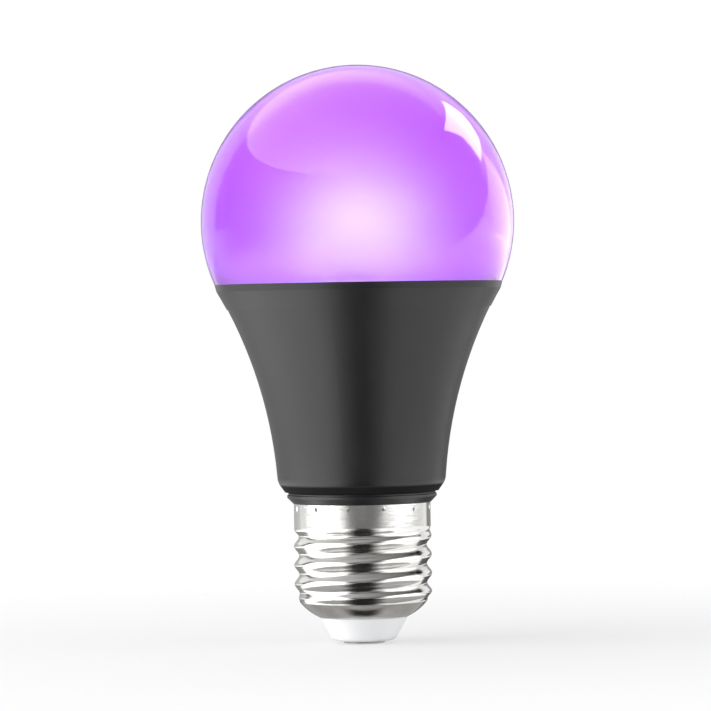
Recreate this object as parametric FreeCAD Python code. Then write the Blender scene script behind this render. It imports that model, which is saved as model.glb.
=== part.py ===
"""Screw-in ultraviolet LED bulb with a 60 mm dome: one STEP file per piece, in millimetres.

The origin is the middle of the centre contact's face. The axis runs along +Z, towards the dome, and the
front faces -Y.
"""
import FreeCAD, Part
import math
import os

# Heights along the axis, each counted from the one before, from the contact's face up to the dome
contact_thickness = 0.5
insulator_height = 4.5  # white cone between contact and shell
foot_height = 3.0  # shell's rounded foot below the thread
thread_turns = 4.0
thread_pitch = 3.629  # seven turns to the inch, the standard screw base
collar_height = 4.4  # plain collar of the shell
ring_height = 2.2  # black ring that the shell butts against
chamfer_height = 1.9  # bevel under the housing's body
body_height = 38.0  # housing's body, up to the dome
dome_rise = 11.75  # centre of the dome's sphere above its joint

# Outside radii
contact_radius = 4.0
insulator_tip_radius = 5.9
insulator_radius = 8.4
thread_radius = 13.2
thread_depth = 0.95
collar_radius = 13.1
ring_radius = 14.35
neck_radius = 16.2
dome_radius = 30.0

# Shape of the housing's outside
flare_arc = 86.0  # radius of the hollow curve between neck and rim
neck_land = 1.3  # straight stretch below the flare
neck_edge = 3.0  # rounding of the lower edge
lip_height = 1.3
lip_taper = 0.35
band_height = 3.5  # conical band under the lip
band_taper = 1.95
band_step = 0.15  # how far the band stands out from the flare
ring_bevel = 1.15  # bevel at the ring's lower edge
ring_step = 0.4  # how far the bevel above overhangs the ring
ring_groove = 0.25  # depth of the groove between ring and bevel
groove_height = 0.45

# Walls and clearances
dome_wall = 1.2
housing_wall = 1.6
cup_wall = 0.8
cap_wall = 0.3
tube_wall = 1.4
fit = 0.12  # clearance between pieces that are pushed together
tube_gap = 0.3  # room between neck tube and thread

# Dome joint
spigot_depth = 3.0
rim_land = 2.7  # width of the rim face that the dome sits on
dome_foot = 1.5  # thickness of the dome's inner ledge
snap_bead = 0.3
bead_drop = 1.6  # bead below the rim face

# Shell details
thread_start = 197.0  # direction of the crest at the bottom of the thread, in degrees
thread_fade = 0.55  # turns over which the thread runs out at each end
sections_per_turn = 12
foot_bulge = 0.3  # rounding of the shell's foot
crimp_count = 12
crimp_phase = 18.0
crimp_depth = 0.36
crimp_width = 0.8
crimp_length = 1.3  # along the axis
crimp_lift = 0.05  # base of the punch outside the shell
crimp_drop = 0.85  # middle of the crimps below the shell's top edge

# Light board
cup_gap = 0.35  # cup clear of the dome's spigot
cup_top_below_rim = 2.5
cup_plate = 1.0
cup_edge = 0.8  # rounding of the cup's top edge
board_margin = 0.6
light_board_thickness = 1.2
led_length = 3.5
led_width = 2.8
led_height = 0.8
led_recess = 0.25
led_rim = 0.5
outer_led_count = 12
inner_led_count = 6
outer_led_margin = 4.2  # from the board's edge
inner_led_radius = 8.5
led_phase = 0.5  # first LED, in steps of its ring
screw_circle = 13.4
screw_count = 2
screw_radius = 1.0
screw_length = 4.0
screw_head_radius = 1.9
screw_head_height = 1.3
screw_slot = 0.5

# Driver board
shoulder_height = 7.3  # seat of the cup above the housing's lower edge
shoulder_land = 0.35
driver_thickness = 1.0
driver_margin = 0.45  # board clear of the tube's bore
driver_wide_half = 12.0
driver_wide_rise = 2.0  # wide part above the housing's lower edge
driver_top_gap = 7.0  # board below the cup's plate
tube_base_rise = 1.6  # tube's end above the bottom of the thread
guide_depth = 1.6
guide_width = 1.2
guide_gap = 0.15
guide_stop = 0.8
pin_size = 0.7
pin_spacing = 4.0
pin_overlap = 3.5
pin_stand = 1.0  # pins above the light board
pin_window_length = 9.0
pin_window_width = 5.0

# Parts on the driver board
lead_radius = 0.3
lead_stand = 0.8  # leads behind the board
bulk_radius = 4.0
bulk_height = 12.0
bulk_pitch = 3.5
bulk_crimp = 0.35
inductor_radius = 4.2
inductor_height = 9.0
inductor_pitch = 5.0
inductor_flange = 1.2
inductor_waist = 0.25
top_part_spread = 6.0  # capacitor and inductor, each side of the axis
top_part_drop = 8.0  # below the board's top edge
film_length = 9.0
film_depth = 5.0
film_height = 8.0
film_pitch = 7.5
film_rise = 8.0  # above the housing's lower edge
film_edge = 0.8
fuse_length = 7.0
fuse_radius = 1.4
fuse_waist = 0.25
fuse_pitch = 10.0
fuse_drop = 2.0  # middle of the fuse below the shell's top
fuse_stand = 0.3
chip_width = 3.9
chip_length = 4.9
chip_height = 1.5
chip_legs = 4
chip_leg_pitch = 1.27
chip_rise = 14.0
rectifier_width = 4.7
rectifier_length = 3.9
rectifier_height = 1.6
rectifier_legs = 2
rectifier_leg_pitch = 2.5
leg_width = 0.45
leg_thickness = 0.2
leg_reach = 1.0

# Leads in the neck
live_radius = 0.5
neutral_radius = 0.4
shank_radius = 1.5
shank_height = 6.5  # shank above the contact plate
contact_edge = 0.25
live_top = 8.0  # lead's end above the tube's end
neutral_top = 7.4
neutral_rise = 5.5  # how far the lead climbs outside the tube
neutral_bend = 0.9
live_bend = 2.2
live_slope = 45.0  # lead's slanting run, in degrees

# Levels worked out from the heights
foot_base = contact_thickness + insulator_height
thread_base = foot_base + foot_height
thread_top = thread_base + thread_turns * thread_pitch
cap_top = thread_top + collar_height
ring_top = cap_top + ring_height
neck_base = ring_top + chamfer_height
rim = neck_base + body_height
dome_centre = rim + dome_rise
cup_top = rim - cup_top_below_rim
light_board_top = cup_top + light_board_thickness
cup_seat = neck_base + shoulder_height
tube_base = thread_base + tube_base_rise
driver_base = tube_base + guide_stop
driver_top = cup_top - cup_plate - driver_top_gap
wide_base = neck_base + driver_wide_rise
part_level = driver_top - top_part_drop
film_level = neck_base + film_rise
fuse_level = cap_top - fuse_drop
chip_level = neck_base + chip_rise
spigot_base = rim - spigot_depth
bead_level = rim - bead_drop

# Radii worked out from the others
rim_radius = math.sqrt(dome_radius**2 - dome_rise**2)
lip_base_radius = rim_radius - lip_taper
band_base_radius = lip_base_radius - band_taper
flare_top_radius = band_base_radius - band_step
flare_top = rim - lip_height - band_height
flare_base = neck_base + neck_land
bore_radius = rim_radius - rim_land
spigot_radius = bore_radius - fit
spigot_inner = spigot_radius - dome_wall
cup_radius = spigot_inner - cup_gap
light_board_radius = cup_radius - board_margin
thread_minor = thread_radius - thread_depth
tube_radius = thread_minor - cap_wall - tube_gap
tube_bore = tube_radius - tube_wall
seat_radius = collar_radius - cap_wall - fit
driver_half = tube_bore - driver_margin
driver_face = driver_thickness / 2

same_point = 1e-6
UP = FreeCAD.Vector(0, 0, 1)
BACK = FreeCAD.Vector(0, 1, 0)
ORIGIN = FreeCAD.Vector(0, 0, 0)


def at(radius, height):
    """A point of a profile, in the half plane that is turned about the axis."""
    return FreeCAD.Vector(radius, 0, height)


def outline(start, *steps):
    """Closed face from a start point: each step is a point, or a pair (point passed, end) for an arc."""
    edges = []
    here = start
    for step in steps:
        if isinstance(step, tuple):
            edges.append(Part.Arc(here, step[0], step[1]).toShape())
            here = step[1]
        else:
            edges.append(Part.LineSegment(here, step).toShape())
            here = step
    if not here.isEqual(start, same_point):
        edges.append(Part.LineSegment(here, start).toShape())
    return Part.Face(Part.Wire(edges))


def turned(start, *steps):
    """Solid of revolution about the axis from such an outline."""
    return outline(start, *steps).revolve(ORIGIN, UP, 360)


def corner(before, point, after, radius):
    """Arc step that rounds a corner: the tangent point to reach first, and the arc to the second one."""
    to_before = (before - point).normalize()
    to_after = (after - point).normalize()
    half = to_before.getAngle(to_after) / 2
    reach = radius / math.tan(half)
    middle = (to_before + to_after).normalize()
    passed = point + middle * (radius / math.sin(half) - radius)
    return point + to_before * reach, (passed, point + to_after * reach)


def box(x0, y0, z0, x1, y1, z1):
    return Part.makeBox(x1 - x0, y1 - y0, z1 - z0, FreeCAD.Vector(x0, y0, z0))


def polar(radius, degrees, height):
    angle = math.radians(degrees)
    return FreeCAD.Vector(radius * math.cos(angle), radius * math.sin(angle), height)


def flare_centre():
    """Centre of the flare's arc, out beyond the wall, as a radius and a height."""
    chord_r = flare_top_radius - neck_radius
    chord_z = flare_top - flare_base
    chord = math.hypot(chord_r, chord_z)
    away = math.sqrt(flare_arc**2 - chord**2 / 4)
    centre_r = (flare_top_radius + neck_radius) / 2 + away * chord_z / chord
    centre_z = (flare_top + flare_base) / 2 - away * chord_r / chord
    return centre_r, centre_z


def flare_at(height, inset):
    """Point of the flare's arc at a height, set in from the outside by a wall."""
    centre_r, centre_z = flare_centre()
    return at(centre_r - math.sqrt((flare_arc + inset) ** 2 - (height - centre_z) ** 2), height)


def flare_step(low, high, inset):
    """Arc step along the flare from one height to another."""
    return flare_at((low + high) / 2, inset), flare_at(high, inset)


def flare_height(radius, inset):
    """Height at which the flare, set in by a wall, reaches a radius."""
    centre_r, centre_z = flare_centre()
    return centre_z + math.sqrt((flare_arc + inset) ** 2 - (centre_r - radius) ** 2)


def bent_wire(points, bend, radius):
    """Round wire along straight runs joined by tangent arcs."""
    edges = []
    here = points[0]
    for before, point, after in zip(points, points[1:], points[2:]):
        reached, turn = corner(before, point, after, bend)
        edges.append(Part.LineSegment(here, reached).toShape())
        edges.append(Part.Arc(reached, turn[0], turn[1]).toShape())
        here = turn[1]
    edges.append(Part.LineSegment(here, points[-1]).toShape())
    section = Part.Wire(Part.makeCircle(radius, points[0], points[1] - points[0]))
    return Part.Wire(edges).makePipeShell([section], True, True)


def make_dome():
    """Hollow dome with a ledge inside and a spigot that snaps into the housing."""
    inner_radius = dome_radius - dome_wall
    ledge = rim + dome_foot
    ledge_radius = math.sqrt(inner_radius**2 - (dome_centre - ledge) ** 2)
    half_way = math.sqrt(0.5)
    return turned(
        at(0, dome_centre + dome_radius),
        (at(dome_radius * half_way, dome_centre + dome_radius * half_way), at(dome_radius, dome_centre)),
        (
            at(
                math.sqrt(dome_radius**2 - dome_rise**2 / 4),
                dome_centre - dome_rise / 2,
            ),
            at(rim_radius, rim),
        ),
        at(spigot_radius, rim),
        at(spigot_radius, bead_level + snap_bead),
        (at(spigot_radius + snap_bead, bead_level), at(spigot_radius, bead_level - snap_bead)),
        at(spigot_radius, spigot_base),
        at(spigot_inner, spigot_base),
        at(spigot_inner, ledge),
        at(ledge_radius, ledge),
        (at(inner_radius, dome_centre), at(0, dome_centre + inner_radius)),
    )


def crimps(depth):
    """Four-sided pointed punches all round, longer than wide, that reach a depth below the collar's surface."""
    level = cap_top - crimp_drop
    reach = depth + crimp_lift
    wide = reach / crimp_depth * crimp_width / 2
    tall = reach / crimp_depth * crimp_length / 2
    punches = []
    for index in range(crimp_count):
        degrees = crimp_phase + index * 360 / crimp_count
        middle = polar(collar_radius + crimp_lift, degrees, level)
        tip = polar(collar_radius - depth, degrees, level)
        side = polar(wide, degrees + 90, 0)
        base = [middle - UP * tall, middle + side, middle + UP * tall, middle - side]
        rings = [base + base[:1]]
        for first, second in zip(base, base[1:] + base[:1]):
            rings.append([second, first, tip, second])
        punches.append(Part.Solid(Part.Shell([Part.Face(Part.makePolygon(ring)) for ring in rings])))
    return punches


def crimp_bumps(clearance, radius):
    """What the crimps push in beyond the shell's wall, cut off at a radius inside that wall."""
    core = Part.makeCylinder(radius, collar_height, UP * thread_top)
    return [core.common(punch) for punch in crimps(crimp_depth + cap_wall + clearance)]


def make_housing():
    """Flared body, neck ring and tube in one moulding, with pits for the crimps and guides for the driver."""
    groove = snap_bead + fit
    inside = flare_at(cup_seat, housing_wall)
    neck_bore = inside.x - cup_wall - shoulder_land
    centre_r, centre_z = flare_centre()
    lean = (flare_base - centre_z) / (centre_r - neck_radius)
    bevel_point = at(neck_radius - lean * neck_land, neck_base)
    bevel_low = at(ring_radius + ring_step, ring_top)
    bevel_from, bevel_arc = corner(bevel_low, bevel_point, at(neck_radius, flare_base), neck_edge)
    ring_low = at(ring_radius, cap_top + ring_bevel)
    groove_low = at(ring_radius - ring_groove, ring_top - groove_height)
    ring_from, ring_arc = corner(ring_low, at(ring_radius, groove_low.z), groove_low, ring_groove)
    body = turned(
        at(tube_bore, tube_base),
        at(tube_radius, tube_base),
        at(tube_radius, thread_top),
        at(seat_radius, thread_top + (seat_radius - tube_radius)),
        at(seat_radius, cap_top),
        at(collar_radius + fit, cap_top),
        ring_low,
        ring_from,
        ring_arc,
        at(groove_low.x, ring_top),
        bevel_low,
        bevel_from,
        bevel_arc,
        at(neck_radius, flare_base),
        flare_step(flare_base, flare_top, 0),
        at(band_base_radius, flare_top),
        at(lip_base_radius, rim - lip_height),
        at(rim_radius, rim),
        at(bore_radius, rim),
        at(bore_radius, bead_level + groove),
        (at(bore_radius + groove, bead_level), at(bore_radius, bead_level - groove)),
        at(bore_radius, spigot_base - fit),
        flare_at(spigot_base - fit, housing_wall),
        flare_step(spigot_base - fit, cup_seat, housing_wall),
        at(neck_bore, cup_seat),
        at(neck_bore, neck_base),
        at(tube_bore, cap_top),
    )
    pits = crimp_bumps(fit, collar_radius - cap_wall)
    slot = driver_face + guide_gap
    inner = driver_half - guide_depth
    outer = tube_bore + tube_wall / 2
    guides = []
    for side in (-1, 1):
        left, right = sorted((side * inner, side * outer))
        for face in (-1, 1):
            low, high = sorted((face * slot, face * (slot + guide_width)))
            guides.append(box(left, low, tube_base, right, high, cap_top))
        guides.append(box(left, -slot, tube_base, right, slot, driver_base))
    groove_out = tube_radius + fit
    groove_in = tube_radius - 2 * neutral_radius - fit
    lead_groove = box(
        -neutral_radius - fit,
        -groove_out,
        tube_base,
        neutral_radius + fit,
        -groove_in,
        tube_base + neutral_rise + fit,
    )
    return body.fuse(guides).cut(pits + [lead_groove]).removeSplitter()


def make_cup():
    """Aluminium cup, closed end up, that stands on the housing's shoulder and carries the light board."""
    outer = housing_wall + fit
    inner = outer + cup_wall
    top_corner = at(cup_radius, cup_top)
    bend = flare_height(cup_radius, outer)
    inner_radius = cup_radius - cup_wall
    inner_bend = flare_height(inner_radius, inner)
    corner_from, corner_arc = corner(at(cup_radius, bend), top_corner, at(0, cup_top), cup_edge)
    cup = turned(
        flare_at(cup_seat, inner),
        flare_at(cup_seat, outer),
        flare_step(cup_seat, bend, outer),
        corner_from,
        corner_arc,
        at(0, cup_top),
        at(0, cup_top - cup_plate),
        at(inner_radius, cup_top - cup_plate),
        at(inner_radius, inner_bend),
        flare_step(inner_bend, cup_seat, inner),
    )
    window = box(
        -pin_window_length / 2,
        -pin_window_width / 2,
        cup_top - cup_plate,
        pin_window_length / 2,
        pin_window_width / 2,
        cup_top,
    )
    return cup.cut([window] + screw_holes(screw_radius + fit / 2, cup_top - cup_plate, cup_plate))


def screw_places():
    return [polar(screw_circle, 90 + index * 360 / screw_count, 0) for index in range(screw_count)]


def screw_holes(radius, base, depth):
    return [Part.makeCylinder(radius, depth, place + UP * base) for place in screw_places()]


def pin_places():
    return (-pin_spacing / 2, pin_spacing / 2)


def make_light_board():
    """Round board with holes for its screws and for the driver's pins."""
    board = Part.makeCylinder(light_board_radius, light_board_thickness, UP * cup_top)
    holes = screw_holes(screw_radius + fit, cup_top, light_board_thickness)
    for x in pin_places():
        centre = FreeCAD.Vector(x, driver_face + pin_size / 2, cup_top)
        holes.append(Part.makeCylinder(pin_size, light_board_thickness, centre))
    return board.cut(holes)


def make_led():
    """One LED package at the origin: a flat block with a shallow well for the clear resin."""
    half_length = led_length / 2
    half_width = led_width / 2
    block = box(-half_length, -half_width, 0, half_length, half_width, led_height)
    well = box(
        led_rim - half_length,
        led_rim - half_width,
        led_height - led_recess,
        half_length - led_rim,
        half_width - led_rim,
        led_height,
    )
    return block.cut(well)


def make_leds():
    """Two rings of LED packages on the light board."""
    rings = (
        (light_board_radius - outer_led_margin, outer_led_count),
        (inner_led_radius, inner_led_count),
    )
    packages = []
    for radius, count in rings:
        for index in range(count):
            degrees = (index + led_phase) * 360 / count
            package = make_led()
            package.Placement = FreeCAD.Placement(
                polar(radius, degrees, light_board_top), FreeCAD.Rotation(UP, degrees)
            )
            packages.append(package)
    return Part.makeCompound(packages)


def make_screws():
    """Slotted pan-head screws through the light board into the cup's plate."""
    screws = []
    for place in screw_places():
        seat = place + UP * light_board_top
        head = Part.makeCylinder(screw_head_radius, screw_head_height, seat)
        head = head.makeFillet(screw_slot, [head.Edges[0]])
        slot = box(
            -screw_head_radius,
            -screw_slot / 2,
            screw_head_height - screw_slot,
            screw_head_radius,
            screw_slot / 2,
            screw_head_height,
        )
        slot.translate(seat)
        shank = Part.makeCylinder(screw_radius, screw_length, seat, -UP)
        screws.append(head.cut(slot).fuse(shank).removeSplitter())
    return Part.makeCompound(screws)


def make_pins():
    """Square pins from the driver board up through the light board."""
    low = driver_top - pin_overlap
    high = light_board_top + pin_stand
    half = pin_size / 2
    return Part.makeCompound(
        [box(x - half, driver_face, low, x + half, driver_face + pin_size, high) for x in pin_places()]
    )


def lead_places():
    """Places on the driver board, as x and height, where the wired parts' leads go through."""
    places = []
    for x, level, pitch in (
        (-top_part_spread, part_level, bulk_pitch),
        (top_part_spread, part_level, inductor_pitch),
        (0, film_level, film_pitch),
    ):
        places += [(x - pitch / 2, level), (x + pitch / 2, level)]
    places += [(0, fuse_level - fuse_pitch / 2), (0, fuse_level + fuse_pitch / 2)]
    return places


def make_driver_board():
    """Upright board, narrow in the neck and wide above it."""
    board = Part.Face(
        Part.makePolygon(
            [
                FreeCAD.Vector(x, -driver_face, z)
                for x, z in (
                    (-driver_half, driver_base),
                    (driver_half, driver_base),
                    (driver_half, wide_base),
                    (driver_wide_half, wide_base),
                    (driver_wide_half, driver_top),
                    (-driver_wide_half, driver_top),
                    (-driver_wide_half, wide_base),
                    (-driver_half, wide_base),
                    (-driver_half, driver_base),
                )
            ]
        )
    ).extrude(BACK * driver_thickness)
    holes = []
    for x, z in lead_places():
        start = FreeCAD.Vector(x, -driver_face, z)
        holes.append(Part.makeCylinder(lead_radius + fit, driver_thickness, start, BACK))
    return board.cut(holes)


def stood_on_board(shape, x, level):
    """Turn a part modelled upright at the origin so that its base lies on the driver board's back face."""
    shape.Placement = FreeCAD.Placement(
        FreeCAD.Vector(x, driver_face, level), FreeCAD.Rotation(FreeCAD.Vector(1, 0, 0), -90)
    )
    return shape


def straight_leads(pitch):
    """Two leads below the base of an upright part, long enough to pass the board."""
    length = driver_thickness + lead_stand
    return [
        Part.makeCylinder(lead_radius, length, FreeCAD.Vector(x, 0, 0), -UP)
        for x in (-pitch / 2, pitch / 2)
    ]


def make_bulk_capacitor():
    """Electrolytic can with its rolled groove and rounded top."""
    groove = bulk_radius - bulk_crimp
    top = at(bulk_radius, bulk_height)
    from_side, top_arc = corner(at(bulk_radius, 0), top, at(0, bulk_height), bulk_crimp)
    can = turned(
        at(0, 0),
        at(bulk_radius, 0),
        at(bulk_radius, 2 * bulk_crimp),
        (at(groove, 3 * bulk_crimp), at(bulk_radius, 4 * bulk_crimp)),
        from_side,
        top_arc,
        at(0, bulk_height),
    )
    return stood_on_board(can.fuse(straight_leads(bulk_pitch)), -top_part_spread, part_level)


def make_inductor():
    """Sleeved drum inductor: two flanges and a narrower winding."""
    winding = inductor_radius - inductor_waist
    drum = turned(
        at(0, 0),
        at(inductor_radius, 0),
        at(inductor_radius, inductor_flange),
        at(winding, inductor_flange + inductor_waist),
        at(winding, inductor_height - inductor_flange - inductor_waist),
        at(inductor_radius, inductor_height - inductor_flange),
        at(inductor_radius, inductor_height),
        at(0, inductor_height),
    )
    return stood_on_board(drum.fuse(straight_leads(inductor_pitch)), top_part_spread, part_level)


def make_film_capacitor():
    """Moulded film capacitor with rounded top edges."""
    half_length = film_length / 2
    half_depth = film_depth / 2
    block = box(-half_length, -half_depth, 0, half_length, half_depth, film_height)
    block = block.makeFillet(film_edge, [edge for edge in block.Edges if edge.CenterOfMass.z > 0])
    return stood_on_board(block.fuse(straight_leads(film_pitch)), 0, film_level)


def make_fuse_resistor():
    """Fusible resistor lying along the board, its leads bent down through it."""
    axis = fuse_radius + fuse_stand
    half = fuse_length / 2
    cap = half / 2
    waist = fuse_radius - fuse_waist
    body = turned(
        at(0, -half),
        at(fuse_radius, -half),
        at(fuse_radius, -cap),
        at(waist, fuse_waist - cap),
        at(waist, cap - fuse_waist),
        at(fuse_radius, cap),
        at(fuse_radius, half),
        at(0, half),
    )
    body.translate(FreeCAD.Vector(0, driver_face + axis, fuse_level))
    below = -driver_face - lead_stand
    route = [
        FreeCAD.Vector(0, y, fuse_level + z)
        for y, z in (
            (below, -fuse_pitch / 2),
            (driver_face + axis, -fuse_pitch / 2),
            (driver_face + axis, fuse_pitch / 2),
            (below, fuse_pitch / 2),
        )
    ]
    return body.fuse(bent_wire(route, 2 * lead_radius, lead_radius)).removeSplitter()


def make_package(width, length, height, legs, pitch, level):
    """Surface-mount package on the board's front face, with bent legs along both long sides."""
    half = width / 2
    middle = height / 2
    half_length = length / 2
    block = box(-half, -half_length, leg_thickness, half, half_length, height)
    pieces = []
    for side in (-1, 1):
        knee = half + leg_reach / 2
        bend = [
            (0, middle),
            (knee, middle),
            (knee, leg_thickness),
            (half + leg_reach, leg_thickness),
            (half + leg_reach, 0),
            (knee - leg_thickness, 0),
            (knee - leg_thickness, middle - leg_thickness),
            (0, middle - leg_thickness),
            (0, middle),
        ]
        for index in range(legs):
            start = (index - (legs - 1) / 2) * pitch - leg_width / 2
            corners = [FreeCAD.Vector(side * x, start, z) for x, z in bend]
            face = Part.Face(Part.makePolygon(corners))
            pieces.append(face.extrude(FreeCAD.Vector(0, leg_width, 0)))
    package = block.fuse(pieces).removeSplitter()
    package.Placement = FreeCAD.Placement(
        FreeCAD.Vector(0, -driver_face, level), FreeCAD.Rotation(FreeCAD.Vector(1, 0, 0), 90)
    )
    return package


def make_live_lead():
    """Lead from the driver board's back face down into the contact's hollow shank."""
    side = driver_face + live_radius
    run = side / math.tan(math.radians(live_slope))
    bend_level = tube_base - live_radius
    return bent_wire(
        [
            FreeCAD.Vector(0, side, tube_base + live_top),
            FreeCAD.Vector(0, side, bend_level),
            FreeCAD.Vector(0, 0, bend_level - run),
            FreeCAD.Vector(0, 0, contact_thickness + shank_height / 2),
        ],
        live_bend,
        live_radius,
    )


def make_neutral_lead():
    """Lead from the driver board's front face, under the tube's end and up between tube and shell."""
    side = driver_face + neutral_radius
    outside = tube_radius - neutral_radius
    turn_level = tube_base - neutral_radius - 2 * fit
    return bent_wire(
        [
            FreeCAD.Vector(0, -side, tube_base + neutral_top),
            FreeCAD.Vector(0, -side, turn_level),
            FreeCAD.Vector(0, -outside, turn_level),
            FreeCAD.Vector(0, -outside, tube_base + neutral_rise),
        ],
        neutral_bend,
        neutral_radius,
    )


def thread_section(turn, inset):
    """Cross-section of the knuckle thread: a circle whose centre goes round the axis as the height grows.

    At the bottom the crest grows out of the root, and at the top the groove runs out into the collar.
    """
    amplitude = thread_depth / 2
    mean = thread_radius - amplitude
    share_low = min(turn / thread_fade, 1)
    share_high = min((thread_turns - turn) / thread_fade, 1)
    grown = smooth(share_low) * smooth(share_high)
    radius = mean - amplitude * (1 - smooth(share_low)) + (collar_radius - mean) * (1 - smooth(share_high))
    direction = thread_start + 360 * turn
    centre = polar(amplitude * grown, direction, thread_base + turn * thread_pitch)
    return Part.Wire(Part.makeCircle(radius - inset, centre, UP))


def smooth(share):
    return share * share * (3 - 2 * share)


def thread_core(inset):
    """Solid inside the thread's surface, set in by a wall."""
    count = round(thread_turns * sections_per_turn)
    turns = [thread_turns * index / count for index in range(count + 1)]
    return Part.makeLoft([thread_section(turn, inset) for turn in turns], True)


def make_cap():
    """Thin shell: rounded foot, rolled thread and plain collar, with crimps pressed through its wall."""
    thread = thread_core(0).cut(thread_core(cap_wall))
    lean = math.sqrt(0.5)
    middle = at(
        (insulator_radius + thread_minor) / 2 + foot_bulge * lean,
        (foot_base + thread_base) / 2 - foot_bulge * lean,
    )
    foot = turned(
        at(insulator_radius, foot_base),
        (middle, at(thread_minor, thread_base)),
        at(thread_minor - cap_wall, thread_base),
        (middle + at(-cap_wall * lean, cap_wall * lean), at(insulator_radius, foot_base + cap_wall / lean)),
    )
    collar = turned(
        at(collar_radius - cap_wall, thread_top),
        at(collar_radius, thread_top),
        at(collar_radius, cap_top),
        at(collar_radius - cap_wall, cap_top),
    )
    bumps = crimp_bumps(0, collar_radius - cap_wall * 3 / 4)
    return foot.fuse([thread, collar] + bumps).cut(crimps(crimp_depth)).removeSplitter()


def make_insulator():
    """White insulator: cone below the shell, waist in its hole and a plug inside it."""
    lean = math.sqrt(0.5)
    bore = shank_radius + fit
    rounding = insulator_tip_radius - contact_radius - 2 * contact_edge
    throat = insulator_radius - fit
    plug_base = foot_base + cap_wall / lean + fit
    plug_radius = thread_minor - cap_wall - 2 * fit
    plug_level = thread_base
    tip = at(insulator_tip_radius, contact_thickness)
    flat, tip_arc = corner(at(bore, contact_thickness), tip, at(insulator_radius, foot_base), rounding)
    middle = at(
        (throat + plug_radius) / 2 + foot_bulge * lean - fit,
        (plug_base + plug_level) / 2 - foot_bulge * lean + fit,
    )
    return turned(
        at(bore, contact_thickness),
        flat,
        tip_arc,
        at(insulator_radius, foot_base),
        at(throat, foot_base),
        at(throat, plug_base),
        (middle, at(plug_radius, plug_level)),
        at(plug_radius - fit, plug_level),
        at(bore, plug_level),
    )


def make_contact():
    """Contact plate with a rounded edge and a hollow shank that takes the live lead."""
    bore = live_radius + fit
    shank_top = contact_thickness + shank_height
    low = at(contact_radius, 0)
    from_face, edge_arc = corner(at(0, 0), low, at(contact_radius, contact_thickness), contact_edge)
    return turned(
        at(0, 0),
        from_face,
        edge_arc,
        at(contact_radius, contact_thickness),
        at(shank_radius, contact_thickness),
        at(shank_radius, shank_top),
        at(bore, shank_top),
        at(bore, contact_thickness + shank_height / 2 - fit),
        at(0, contact_thickness + shank_height / 2 - fit),
    )


nodes = {
    "diffuser_dome": make_dome(),
    "housing": make_housing(),
    "heat_sink_cup": make_cup(),
    "led_board": make_light_board(),
    "led_chips": make_leds(),
    "board_screws": make_screws(),
    "board_pins": make_pins(),
    "driver_board": make_driver_board(),
    "bulk_capacitor": make_bulk_capacitor(),
    "power_inductor": make_inductor(),
    "film_capacitor": make_film_capacitor(),
    "fuse_resistor": make_fuse_resistor(),
    "bridge_rectifier": make_package(
        rectifier_width, rectifier_length, rectifier_height, rectifier_legs, rectifier_leg_pitch, fuse_level
    ),
    "driver_chip": make_package(chip_width, chip_length, chip_height, chip_legs, chip_leg_pitch, chip_level),
    "live_lead": make_live_lead(),
    "neutral_lead": make_neutral_lead(),
    "screw_cap": make_cap(),
    "cap_insulator": make_insulator(),
    "centre_contact": make_contact(),
}
os.makedirs("parts", exist_ok=True)
for name, shape in nodes.items():
    shape.exportStep(f"parts/{name}.step")
    print(f"{name}: {len(shape.Solids)} solids, valid {shape.isValid()}, {shape.Volume:.1f} mm3")
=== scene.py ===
"""Studio scene of the ultraviolet bulb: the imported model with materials, lights and camera, in metres."""
import bpy
import math
from mathutils import Matrix, Vector


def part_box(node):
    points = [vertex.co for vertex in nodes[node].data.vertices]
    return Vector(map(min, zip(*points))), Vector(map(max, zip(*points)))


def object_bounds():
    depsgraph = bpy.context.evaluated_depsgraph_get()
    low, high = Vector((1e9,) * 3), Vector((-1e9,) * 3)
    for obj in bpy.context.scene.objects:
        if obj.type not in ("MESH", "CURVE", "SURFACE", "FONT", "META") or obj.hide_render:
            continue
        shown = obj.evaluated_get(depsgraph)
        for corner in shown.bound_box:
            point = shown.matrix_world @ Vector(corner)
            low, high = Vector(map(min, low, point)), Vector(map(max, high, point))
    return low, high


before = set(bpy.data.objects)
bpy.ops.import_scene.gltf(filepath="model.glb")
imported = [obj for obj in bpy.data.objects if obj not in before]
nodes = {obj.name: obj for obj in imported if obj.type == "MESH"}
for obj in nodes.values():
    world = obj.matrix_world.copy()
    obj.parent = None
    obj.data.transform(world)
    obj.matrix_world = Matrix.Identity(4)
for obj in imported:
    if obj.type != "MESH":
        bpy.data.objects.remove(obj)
cad_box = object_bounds()

# Camera, worked out from the photograph's frame of 711 by 711 pixels
image_size = 711
focal_pixels = 4150
camera_distance = 0.7956
eye_height = 0.0627
look_height = 0.0551
side_shift = -0.0008
camera_roll = -0.95  # degrees
sensor_width = 36.0  # mm

# Levels of the bulb, from the frame
rim_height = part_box("housing")[1].z
dome_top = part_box("diffuser_dome")[1].z
dome_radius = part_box("diffuser_dome")[1].x
dome_middle = Vector((0, 0, dome_top - dome_radius))
led_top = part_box("led_chips")[1].z
thread_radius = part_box("screw_cap")[1].x
bulb_middle = Vector((0, 0, (cad_box[0].z + cad_box[1].z) / 2))
floor_gap = 0.00005
floor_level = cad_box[0].z - floor_gap

# Zones of the surfaces
bevel_low = 0.0288  # heights between which the bevel over the housing's ring is rougher and carries painted shade from a lowered specular level
bevel_high = 0.0302
bevel_edge = 0.0002  # the rougher, painted-shade zone sets in over this height, and fades out over the next
bevel_fade = 0.0006
root_top = 0.0003  # depths below the thread's crests between which the nickel turns dull
root_bottom = 0.0010
resin_depth = 0.0001  # the resin lies further than this below the top of an LED
copper_rings = 1400  # radians of the board's ring pattern in a metre of radius

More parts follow.
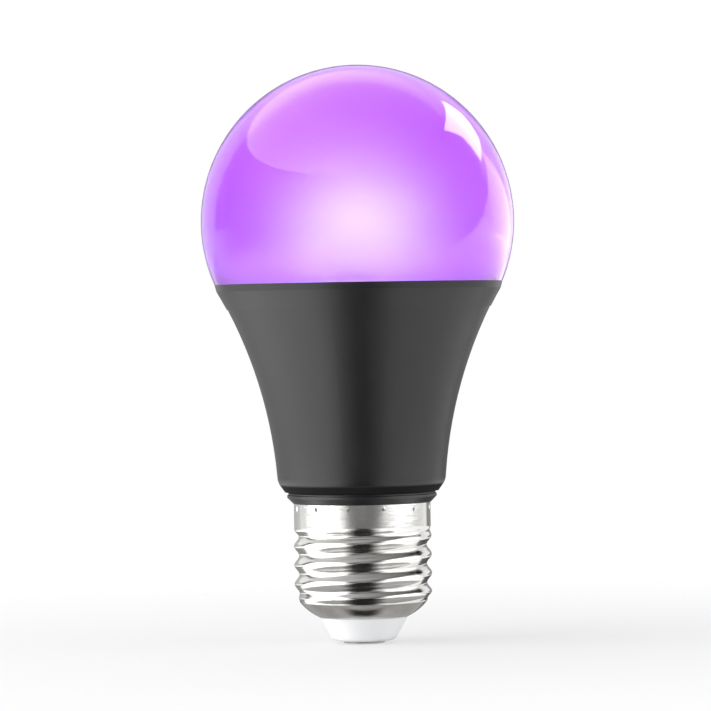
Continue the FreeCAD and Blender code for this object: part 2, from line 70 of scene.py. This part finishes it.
# Light of the bulb itself
led_light = 12.0
painted_dome_glow = 0.24  # painted glow, standing in for the LEDs' light scattered in the dome's wall, strongest just above the rim
glow_height = 0.024
edge_glow_height = 0.007
glow_radiance = 2.8  # light that the LEDs gather in the dome
glow_colour = (0.28, 1.0, 0.41)
glow_count = 6
glow_radius = 0.006

# Studio
world_level = 0.12
floor_half = 3.0
floor_grey = 0.7
floor_shade = 0.4  # share of real shading on the floor beside the bulb
shade_near = 0.03  # real shading fades to plain white between these distances
shade_far = 0.20
white_from = 0.0  # behind the bulb, reflections meet the stage as white, rising between these slopes
white_to = 0.7
dim_near = 0.12  # in front, reflections meet a floor that dims between these distances
dim_far = 0.60
dim_grey = 0.10
bounce_left = 1.45  # light that reflections meet on the floor beside the bulb, at its left and right
bounce_right = 0.5
bounce_side = 0.05
bounce_near = 0.05  # and that fades between these distances
bounce_far = 0.45
wall_distance = 1.5
wall_height = 2.5
wall_left = -1.9
wall_right = 3.0


class Nodes:
    """A node tree under construction, with short calls for the nodes that all trees here share."""

    def __init__(self, tree):
        self.tree = tree

    def node(self, kind, **values):
        made = self.tree.nodes.new(kind)
        for name, value in values.items():
            setattr(made, name, value)
        return made

    def give(self, value, socket):
        """Set a socket to a number or colour, or link an output to it."""
        if isinstance(value, bpy.types.NodeSocket):
            self.tree.links.new(value, socket)
        else:
            socket.default_value = value

    def place(self):
        return self.node("ShaderNodeTexCoord").outputs["Object"]

    def axis(self, vector, letter):
        split = self.node("ShaderNodeSeparateXYZ")
        self.give(vector, split.inputs["Vector"])
        return split.outputs[letter]

    def length(self, vector):
        made = self.node("ShaderNodeVectorMath", operation="LENGTH")
        self.give(vector, made.inputs[0])
        return made.outputs["Value"]

    def math(self, operation, first, second):
        made = self.node("ShaderNodeMath", operation=operation)
        self.give(first, made.inputs[0])
        self.give(second, made.inputs[1])
        return made.outputs["Value"]

    def spread(self, source, low, high, from_low=0.3, from_high=0.7, smooth=False):
        """Map a value from one range to another."""
        made = self.node("ShaderNodeMapRange", interpolation_type="SMOOTHSTEP" if smooth else "LINEAR")
        self.give(from_low, made.inputs["From Min"])
        self.give(from_high, made.inputs["From Max"])
        self.give(low, made.inputs["To Min"])
        self.give(high, made.inputs["To Max"])
        self.give(source, made.inputs["Value"])
        return made.outputs["Result"]

    def blend(self, share, first, second):
        """Mix two colours by a value."""
        made = self.node("ShaderNodeMixRGB")
        self.give(share, made.inputs["Fac"])
        self.give(self.colour(first), made.inputs["Color1"])
        self.give(self.colour(second), made.inputs["Color2"])
        return made.outputs["Color"]

    def colour(self, value):
        return value if isinstance(value, bpy.types.NodeSocket) else (*value, 1)

    def noise(self, scale, detail=3.0, stretch=(1, 1, 1)):
        """Cloudy value, stretched along the axes for streaks."""
        mapping = self.node("ShaderNodeMapping")
        self.give(stretch, mapping.inputs["Scale"])
        self.give(self.place(), mapping.inputs["Vector"])
        made = self.node("ShaderNodeTexNoise")
        self.give(scale, made.inputs["Scale"])
        self.give(detail, made.inputs["Detail"])
        self.give(mapping.outputs["Vector"], made.inputs["Vector"])
        return made.outputs["Fac"]


class Shader(Nodes):
    """A material on the standard surface shader."""

    def __init__(self, name, colour, roughness, metallic=0.0):
        self.material = bpy.data.materials.new(name)
        self.material.use_nodes = True
        super().__init__(self.material.node_tree)
        self.inputs = self.tree.nodes["Principled BSDF"].inputs
        self.feed((*colour, 1), "Base Color")
        self.feed(roughness, "Roughness")
        self.feed(metallic, "Metallic")

    def feed(self, value, socket):
        self.give(value, self.inputs[socket])

    def height(self):
        return self.axis(self.place(), "Z")

    def radius(self):
        """Distance from the bulb's axis."""
        flat = self.node("ShaderNodeVectorMath", operation="MULTIPLY")
        self.give(self.place(), flat.inputs[0])
        self.give((1, 1, 0), flat.inputs[1])
        return self.length(flat.outputs["Vector"])

    def bump(self, source, distance, strength):
        made = self.node("ShaderNodeBump")
        self.give(distance, made.inputs["Distance"])
        self.give(strength, made.inputs["Strength"])
        self.give(source, made.inputs["Height"])
        self.feed(made.outputs["Normal"], "Normal")


def violet_dome():
    """Tinted polycarbonate: hazy right through, glossy outside, with a painted glow on its wall standing in
    for the light scattered in it.
    """
    s = Shader("violet_polycarbonate", (0.55, 0.26, 0.98), 0.8)
    s.feed(1.0, "Transmission Weight")
    s.feed(1.45, "IOR")
    s.feed(1.0, "Coat Weight")
    s.feed(0.02, "Coat Roughness")
    s.feed(1.5, "Coat IOR")
    cloud = s.noise(60, 2.0)
    s.feed(s.blend(cloud, (0.53, 0.225, 0.97), (0.57, 0.255, 0.99)), "Base Color")
    s.feed(s.spread(cloud, 0.78, 0.82), "Roughness")
    # Painted glow: emission strongest just above the rim and fading upwards, standing in for the LEDs' light
    # scattered in the wall
    low = s.spread(s.height(), 1, 0, rim_height, rim_height + glow_height, smooth=True)
    edge = s.spread(s.height(), 1, 0, rim_height, rim_height + edge_glow_height, smooth=True)
    wall = s.blend(low, (0.42, 0.02, 0.25), (0.38, 0.05, 0.37))
    s.feed(s.blend(edge, wall, (0.50, 0.05, 0.38)), "Emission Color")
    s.feed(painted_dome_glow, "Emission Strength")
    return s.material


def black_plastic():
    """Satin moulded plastic with a fine spark-eroded grain, left rougher on the bevel over the ring, with
    painted shade there from a lowered specular level.
    """
    s = Shader("black_plastic", (0.008, 0.008, 0.009), 0.36)
    cloud = s.noise(120)
    s.feed(s.blend(cloud, (0.007, 0.007, 0.008), (0.010, 0.010, 0.011)), "Base Color")
    above = s.spread(s.height(), 0, 1, bevel_low, bevel_low + bevel_edge)
    below = s.spread(s.height(), 1, 0, bevel_high, bevel_high + bevel_fade, smooth=True)
    dull = s.math("MULTIPLY", above, below)
    # Painted shade: the bevel's specular level is turned down, besides its real extra roughness
    s.feed(s.spread(dull, 0.5, 0.12, 0, 1), "Specular IOR Level")
    s.feed(s.math("ADD", s.spread(cloud, 0.33, 0.39), s.math("MULTIPLY", dull, 0.5)), "Roughness")
    s.bump(s.noise(9000, 2.0), 0.00002, 0.5)
    return s.material


def nickel_plate():
    """Bright nickel on rolled sheet: faint rolling lines and duller roots."""
    s = Shader("nickel_plate", (0.78, 0.77, 0.75), 0.16, 1.0)
    lines = s.noise(400, 4.0, (1, 1, 18))
    root = s.spread(s.radius(), 1.0, 0.0, thread_radius - root_bottom, thread_radius - root_top)
    dull = s.math("MULTIPLY", root, s.spread(s.noise(220), 0.2, 1.0))
    s.feed(s.blend(dull, (0.80, 0.79, 0.77), (0.58, 0.56, 0.53)), "Base Color")
    s.feed(s.math("ADD", s.spread(lines, 0.10, 0.20), s.math("MULTIPLY", dull, 0.08)), "Roughness")
    s.bump(lines, 0.00001, 0.35)
    return s.material


def white_plastic():
    """White moulded insulator, faintly mottled."""
    s = Shader("white_plastic", (0.95, 0.955, 0.97), 0.35)
    cloud = s.noise(300)
    s.feed(s.blend(cloud, (0.94, 0.945, 0.96), (0.96, 0.965, 0.98)), "Base Color")
    s.feed(s.spread(cloud, 0.30, 0.42), "Roughness")
    s.bump(s.noise(5000, 2.0), 0.00001, 0.4)
    return s.material


def turned_metal():
    """Dull contact plate with turning marks."""
    s = Shader("contact_metal", (0.42, 0.42, 0.42), 0.38, 1.0)
    rings = s.node("ShaderNodeTexWave", wave_type="RINGS", rings_direction="Z")
    s.give(900, rings.inputs["Scale"])
    s.give(1.5, rings.inputs["Distortion"])
    s.give(s.place(), rings.inputs["Vector"])
    cloud = s.noise(500)
    s.feed(s.blend(cloud, (0.26, 0.26, 0.26), (0.42, 0.42, 0.41)), "Base Color")
    s.feed(s.spread(cloud, 0.3, 0.5), "Roughness")
    s.bump(rings.outputs["Fac"], 0.000015, 0.5)
    return s.material


def cloudy(name, colour, roughness, metallic=0.0):
    """Cloudy metal, plastic, epoxy or lacquer, for the inner pieces."""
    s = Shader(name, colour, roughness, metallic)
    cloud = s.noise(400)
    dark = tuple(channel * 0.85 for channel in colour)
    s.feed(s.blend(cloud, dark, colour), "Base Color")
    s.feed(s.spread(cloud, roughness - 0.06, roughness + 0.06), "Roughness")
    s.bump(s.noise(4000, 2.0), 0.00001, 0.4)
    return s.material


def solder_mask():
    """White board with the faint outline of its copper rings."""
    s = Shader("white_solder_mask", (0.85, 0.85, 0.84), 0.4)
    rings = s.math("SINE", s.math("MULTIPLY", s.radius(), copper_rings), 0)
    s.feed(s.blend(s.spread(rings, 0, 1, 0.85, 0.95), (0.86, 0.86, 0.85), (0.80, 0.79, 0.74)), "Base Color")
    s.bump(rings, 0.00003, 0.4)
    return s.material


def led_package():
    """White package whose sunken clear resin glows."""
    s = Shader("led_resin", (0.85, 0.83, 0.86), 0.3)
    facing = s.node("ShaderNodeNewGeometry").outputs["True Normal"]
    faces_up = s.math("GREATER_THAN", s.axis(facing, "Z"), 0.5)
    sunken = s.math("LESS_THAN", s.height(), led_top - resin_depth)
    resin = s.math("MULTIPLY", faces_up, sunken)
    s.feed(s.blend(resin, (0.85, 0.84, 0.86), (0.75, 0.6, 0.95)), "Base Color")
    s.feed(s.blend(resin, (0, 0, 0), (0.80, 0.85, 1.0)), "Emission Color")
    s.feed(led_light, "Emission Strength")
    return s.material


finishes = {
    "diffuser_dome": violet_dome(),
    "housing": black_plastic(),
    "screw_cap": nickel_plate(),
    "cap_insulator": white_plastic(),
    "centre_contact": turned_metal(),
    "heat_sink_cup": cloudy("aluminium_sheet", (0.80, 0.81, 0.82), 0.35, 1.0),
    "led_board": solder_mask(),
    "led_chips": led_package(),
    "board_screws": cloudy("screw_steel", (0.62, 0.62, 0.63), 0.3, 1.0),
    "board_pins": cloudy("pin_brass", (0.78, 0.70, 0.45), 0.3, 1.0),
    "driver_board": cloudy("circuit_board", (0.06, 0.26, 0.10), 0.4),
    "bulk_capacitor": cloudy("capacitor_sleeve", (0.03, 0.05, 0.16), 0.3),
    "power_inductor": cloudy("inductor_sleeve", (0.03, 0.03, 0.03), 0.5),
    "film_capacitor": cloudy("film_epoxy", (0.50, 0.10, 0.05), 0.3),
    "fuse_resistor": cloudy("resistor_coat", (0.20, 0.34, 0.30), 0.35),
    "bridge_rectifier": cloudy("chip_epoxy", (0.035, 0.035, 0.035), 0.5),
    "live_lead": cloudy("red_lead", (0.55, 0.03, 0.03), 0.35),
    "neutral_lead": cloudy("bare_lead", (0.62, 0.60, 0.58), 0.3, 1.0),
}
finishes["driver_chip"] = finishes["bridge_rectifier"]
for name, material in finishes.items():
    nodes[name].data.materials.clear()
    nodes[name].data.materials.append(material)


def put(name, data):
    made = bpy.data.objects.new(name, data)
    bpy.context.scene.collection.objects.link(made)
    return made


def sheet(name, corners):
    """Flat stage piece with an empty node material."""
    mesh = bpy.data.meshes.new(name)
    mesh.from_pydata(corners, [], [range(len(corners))])
    material = bpy.data.materials.new(name)
    material.use_nodes = True
    material.cycles.emission_sampling = "NONE"
    material.node_tree.nodes.clear()
    mesh.materials.append(material)
    made = put(name, mesh)
    return made, Nodes(material.node_tree)


def white_stage(name, corners, shade, bounce):
    """Stage surface that the camera, reflections and see-through pieces meet as white, partly shaded."""
    made, n = sheet(name, corners)
    path = n.node("ShaderNodeLightPath").outputs
    away = n.length(n.place())
    slope = n.math("DIVIDE", n.axis(n.place(), "Y"), away)
    behind = n.spread(slope, 0, 1, white_from, white_to, smooth=True)
    mirrored = n.math("MULTIPLY", path["Is Glossy Ray"], behind)
    seen = n.math("MAXIMUM", path["Is Camera Ray"], path["Is Transmission Ray"])
    whole = n.spread(away, 1 - shade, 1, shade_near, shade_far, smooth=True)
    share = n.math("MULTIPLY", n.math("MAXIMUM", seen, mirrored), whole)
    far = n.math("MULTIPLY", path["Is Glossy Ray"], n.spread(away, 0, 1, dim_near, dim_far, smooth=True))
    diffuse = n.node("ShaderNodeBsdfDiffuse")
    n.give(n.blend(far, (floor_grey,) * 3, (dim_grey,) * 3), diffuse.inputs["Color"])
    side = n.spread(n.axis(n.place(), "X"), bounce_left, bounce_right, -bounce_side, bounce_side)
    near = n.spread(away, bounce, 0, bounce_near, bounce_far, smooth=True)
    strength = n.math("MULTIPLY", path["Is Glossy Ray"], n.math("MULTIPLY", side, near))
    thrown = n.node("ShaderNodeEmission")
    n.give(strength, thrown.inputs["Strength"])
    lit = n.node("ShaderNodeAddShader")
    n.give(diffuse.outputs["BSDF"], lit.inputs[0])
    n.give(thrown.outputs["Emission"], lit.inputs[1])
    mix = n.node("ShaderNodeMixShader")
    n.give(share, mix.inputs["Fac"])
    n.give(lit.outputs["Shader"], mix.inputs[1])
    n.give(n.node("ShaderNodeEmission").outputs["Emission"], mix.inputs[2])
    n.give(mix.outputs["Shader"], n.node("ShaderNodeOutputMaterial").inputs["Surface"])


def reflection_only(made):
    made.visible_camera = False
    made.visible_diffuse = False
    made.visible_transmission = False
    made.visible_shadow = False


def glow(n, level):
    made = n.node("ShaderNodeEmission")
    n.give(level, made.inputs["Strength"])
    return made.outputs["Emission"]


def glossy_card(name, corners, left_level, right_level, half):
    """Card that only reflections meet, its brightness running from left to right."""
    made, n = sheet(name, corners)
    level = n.spread(n.axis(n.place(), "X"), left_level, right_level, -half, half)
    n.give(glow(n, level), n.node("ShaderNodeOutputMaterial").inputs["Surface"])
    reflection_only(made)
    return made


def dark_card(name, corners, level, fade):
    """Dark card before the bulb that only reflections meet, fading out to both sides between two slopes."""
    made, n = sheet(name, corners)
    side = n.math("ABSOLUTE", n.axis(n.place(), "X"), 0)
    front = n.math("ABSOLUTE", n.axis(n.place(), "Y"), 0)
    clear = n.spread(n.math("DIVIDE", side, front), 0, 1, *fade, smooth=True)
    mix = n.node("ShaderNodeMixShader")
    n.give(clear, mix.inputs["Fac"])
    n.give(glow(n, level), mix.inputs[1])
    n.give(n.node("ShaderNodeBsdfTransparent").outputs["BSDF"], mix.inputs[2])
    n.give(mix.outputs["Shader"], n.node("ShaderNodeOutputMaterial").inputs["Surface"])
    reflection_only(made)


def upright(half, y, low, high):
    return [(-half, y, low), (half, y, low), (half, y, high), (-half, y, high)]


def level_sheet(half, near, far, z):
    return [(-half, near, z), (half, near, z), (half, far, z), (-half, far, z)]


floor_corners = level_sheet(floor_half, -floor_half, floor_half, floor_level)
white_stage("floor", floor_corners, shade=floor_shade, bounce=1)
white_stage(
    "backdrop",
    [
        (wall_left, wall_distance, floor_level),
        (wall_right, wall_distance, floor_level),
        (wall_right, wall_distance, wall_height),
        (wall_left, wall_distance, wall_height),
    ],
    shade=0,
    bounce=0,
)

# Dark cards before the bulb and on the floor there, which draw the stripe down its front
card_lift = 0.0003
front_near = 0.05
front_far = 0.35
front_top = 0.40
front_half = 0.21
front_level = 0.28
front_fade = (0, 0.42)
front_floor_level = 0.03
front_floor_fade = (0.1, 0.7)
stripe_near = 0.0135
foot_far = 0.0108
foot_near = 0.0070
stripe_level = 0.02
stripe_fade = (0.2, 0.75)

# Cards under and behind the bulb, which draw the dark edges of the metal
under_half = 0.022
under_level = 0.45
edge_half = 0.062
edge_top = 0.15
edge_level = 0.30
back_half = 0.167
back_right = 0.122
back_distance = 0.12
back_left_top = 0.055
back_right_top = 0.034
back_left_level = 0.70
back_right_level = 0.12
behind_half = 0.045
behind_near = 0.015
behind_left_level = 0.30
behind_right_level = 0.10

# Window that the dome mirrors, its corners as shares of its distance
window_azimuth = 134
window_elevation = 32
window_distance = 0.9
window_level = 7.0
window_shape = (
    (0.240, 0.074),
    (-0.352, 0.281),
    (-0.201, 0.057),
    (-0.217, -0.161),
    (0.102, -0.146),
    (0.270, -0.077),
)


def around(middle, azimuth, elevation, distance):
    """A point round another: azimuth from the camera's side, positive to the right, in degrees."""
    a = math.radians(azimuth)
    e = math.radians(elevation)
    return middle + distance * Vector((math.sin(a) * math.cos(e), -math.cos(a) * math.cos(e), math.sin(e)))


def window_corners():
    """Corners of the window that the dome mirrors at its upper right."""
    place = around(dome_middle, window_azimuth, window_elevation, window_distance)
    turn = (dome_middle - place).to_track_quat("-Z", "Y").to_matrix()
    return [place + turn @ Vector((x, y, 0)) * window_distance for x, y in window_shape]


card_floor = floor_level + card_lift
under_corners = level_sheet(under_half, -under_half, under_half, card_floor)
glossy_card("under_card", under_corners, under_level, under_level, under_half)
edge_corners = upright(edge_half, back_distance + card_lift, back_right_top, edge_top)
glossy_card("edge_card", edge_corners, edge_level, edge_level, edge_half)
glossy_card(
    "back_card",
    [
        (-back_half, back_distance, card_floor),
        (back_right, back_distance, card_floor),
        (back_right, back_distance, back_right_top),
        (-back_half, back_distance, back_left_top),
    ],
    back_left_level,
    back_right_level,
    back_half,
)
glossy_card(
    "behind_card",
    level_sheet(behind_half, behind_near, back_distance, card_floor),
    behind_left_level,
    behind_right_level,
    thread_radius,
)
window = glossy_card("rim_window", window_corners(), window_level, window_level, window_distance)
stripe_floor = card_floor + card_lift
dark_card("front_card", upright(front_half, -front_far, card_floor, front_top), front_level, front_fade)
front_floor_corners = level_sheet(front_half, -front_far, -front_near, stripe_floor)
dark_card("front_floor_card", front_floor_corners, front_floor_level, front_floor_fade)
stripe_corners = level_sheet(front_near, -front_near, -stripe_near, stripe_floor)
dark_card("stripe_card", stripe_corners, stripe_level, stripe_fade)
foot_corners = level_sheet(front_near, -foot_far, -foot_near, stripe_floor)
dark_card("foot_card", foot_corners, stripe_level, stripe_fade)


def studio_world():
    """Even dim light all round, white only to the camera and through the dome."""
    world = bpy.data.worlds.new("studio")
    bpy.context.scene.world = world
    world.use_nodes = True
    n = Nodes(world.node_tree)
    background = n.tree.nodes["Background"]
    path = n.node("ShaderNodeLightPath").outputs
    seen = n.math("MAXIMUM", path["Is Camera Ray"], path["Is Transmission Ray"])
    n.give(n.spread(seen, world_level, 1, 0, 1), background.inputs["Strength"])
    n.give((1, 1, 1, 1), background.inputs["Color"])


def flag(light, piece, state):
    """Keep a light off one piece, or on that piece alone."""
    group = bpy.data.collections.new(light.name + "_flag")
    group.objects.link(piece)
    light.light_linking.receiver_collection = group
    group.collection_objects[0].light_linking.link_state = state


def fade_across(light, left, right, start=0, end=1):
    """Let an area light run from one strength to another across its width, or across a part of it."""
    light.use_nodes = True
    n = Nodes(light.node_tree)
    across = n.axis(n.node("ShaderNodeNewGeometry").outputs["Parametric"], "X")
    n.give(n.spread(across, left, right, start, end), n.tree.nodes["Emission"].inputs["Strength"])


def fade_edges(light):
    """Let an area light fade from its middle to its edges, as through a deep diffuser."""
    light.use_nodes = True
    n = Nodes(light.node_tree)
    place = n.node("ShaderNodeNewGeometry").outputs["Parametric"]
    ramps = []
    for letter in ("X", "Y"):
        inwards = n.math("PINGPONG", n.axis(place, letter), 0.5)
        ramps.append(n.spread(inwards, 0, 1, 0, panel_fade, smooth=True))
    n.give(n.math("MULTIPLY", *ramps), n.tree.nodes["Emission"].inputs["Strength"])


def softbox(name, place, aim, size, radiance, shape="RECTANGLE", roll=0):
    """Area light of a given brightness, aimed at a point, rolled by degrees and unseen by the camera."""
    light = bpy.data.lights.new(name, "AREA")
    light.shape = shape
    light.size, light.size_y = size
    area = size[0] * size[1] * (math.pi / 4 if shape == "ELLIPSE" else 1)
    light.energy = radiance * math.pi * area
    made = put(name, light)
    made.location = place
    turn = (aim - place).to_track_quat("-Z", "Y").to_matrix()
    made.rotation_euler = (turn @ Matrix.Rotation(math.radians(roll), 3, "Z")).to_euler()
    made.visible_camera = False
    return made


def inner_light(place):
    """Soft round lamp in the dome for the light that the LEDs gather there."""
    light = bpy.data.lights.new("inner_light", "POINT")
    light.shadow_soft_size = glow_radius
    light.color = glow_colour
    light.energy = glow_radiance * 4 * math.pi**2 * glow_radius**2
    put("inner_light", light).location = place


# Side panels; azimuths, elevations and rolls of all lamps are in degrees, and levels are brightness
panel_distance = 0.7
panel_size = 1.6
panel_fade = 0.4  # share of the width over which a panel fades from each edge
left_azimuth = -72
left_level = 4.6
right_azimuth = 74
right_level = 2.9

# Top panel, with a dimmer one in its place for the cap
top_side = -0.3
top_lift = 0.9
top_size = (2.2, 2.6)
top_level = 2.3
top_fade = (1.0, 0.05)  # share of the level at each end
cap_top_level = 0.7

# Panels that the dome mirrors along its right edge: in the middle, at the very edge, and low down
rim_distance = 0.9
rim_azimuth = 122
rim_elevation = -8
rim_size = (0.94, 0.655)
rim_level = 1.8
rim_roll = 40
limb_azimuth = 162
limb_elevation = 2
limb_size = (0.85, 0.40)
limb_level = 0.6
low_place = Vector((0.387, 0.353, 0.002))
low_size = (1.0, 0.8)
low_level = 2.0
low_roll = -13.5
low_fade = (1.0, 0.1, 0.39, 0.80)  # share of the level at two places across, and the places

studio_world()
dome = nodes["diffuser_dome"]
cap = nodes["screw_cap"]
flag(window, dome, "INCLUDE")
side_panels = (("left_panel", left_azimuth, left_level), ("right_panel", right_azimuth, right_level))
for name, azimuth, level in side_panels:
    side_place = around(bulb_middle, azimuth, 0, panel_distance)
    side = softbox(name, side_place, bulb_middle, (panel_size, panel_size), level)
    fade_edges(side.data)
    flag(side, dome, "EXCLUDE")
above = Vector((top_side, 0, dome_middle.z + top_lift))
below = above * Vector((1, 1, 0))
for name, level, state in (("top_panel", top_level, "EXCLUDE"), ("cap_panel", cap_top_level, "INCLUDE")):
    top = softbox(name, above, below, top_size, level, "ELLIPSE")
    fade_across(top.data, *top_fade)
    flag(top, cap, state)
rim_place = around(dome_middle, rim_azimuth, rim_elevation, rim_distance)
rim = softbox("rim_panel", rim_place, dome_middle, rim_size, rim_level, roll=rim_roll)
flag(rim, dome, "INCLUDE")
limb_place = around(dome_middle, limb_azimuth, limb_elevation, rim_distance)
limb = softbox("limb_panel", limb_place, dome_middle, limb_size, limb_level)
fade_edges(limb.data)
flag(limb, dome, "INCLUDE")
low = softbox("rim_floor", low_place, low_place + Vector((0, 0, 1)), low_size, low_level, roll=low_roll)
fade_across(low.data, *low_fade)
flag(low, dome, "INCLUDE")
for index in range(glow_count):
    turn = index * math.tau / glow_count
    inner_light(dome_middle + glow_radius * Vector((math.cos(turn), math.sin(turn), 0)))


def add_camera():
    data = bpy.data.cameras.new("camera")
    data.sensor_width = sensor_width
    data.lens = focal_pixels / image_size * sensor_width
    place = Vector((side_shift, -camera_distance, eye_height))
    aim = Vector((side_shift, 0, look_height))
    turn = (aim - place).to_track_quat("-Z", "Y").to_matrix().to_4x4()
    made = put("camera", data)
    roll = Matrix.Rotation(math.radians(camera_roll), 4, "Z")
    made.matrix_world = Matrix.Translation(place) @ turn @ roll
    bpy.context.scene.camera = made


add_camera()
bpy.context.scene.view_settings.view_transform = "Standard"
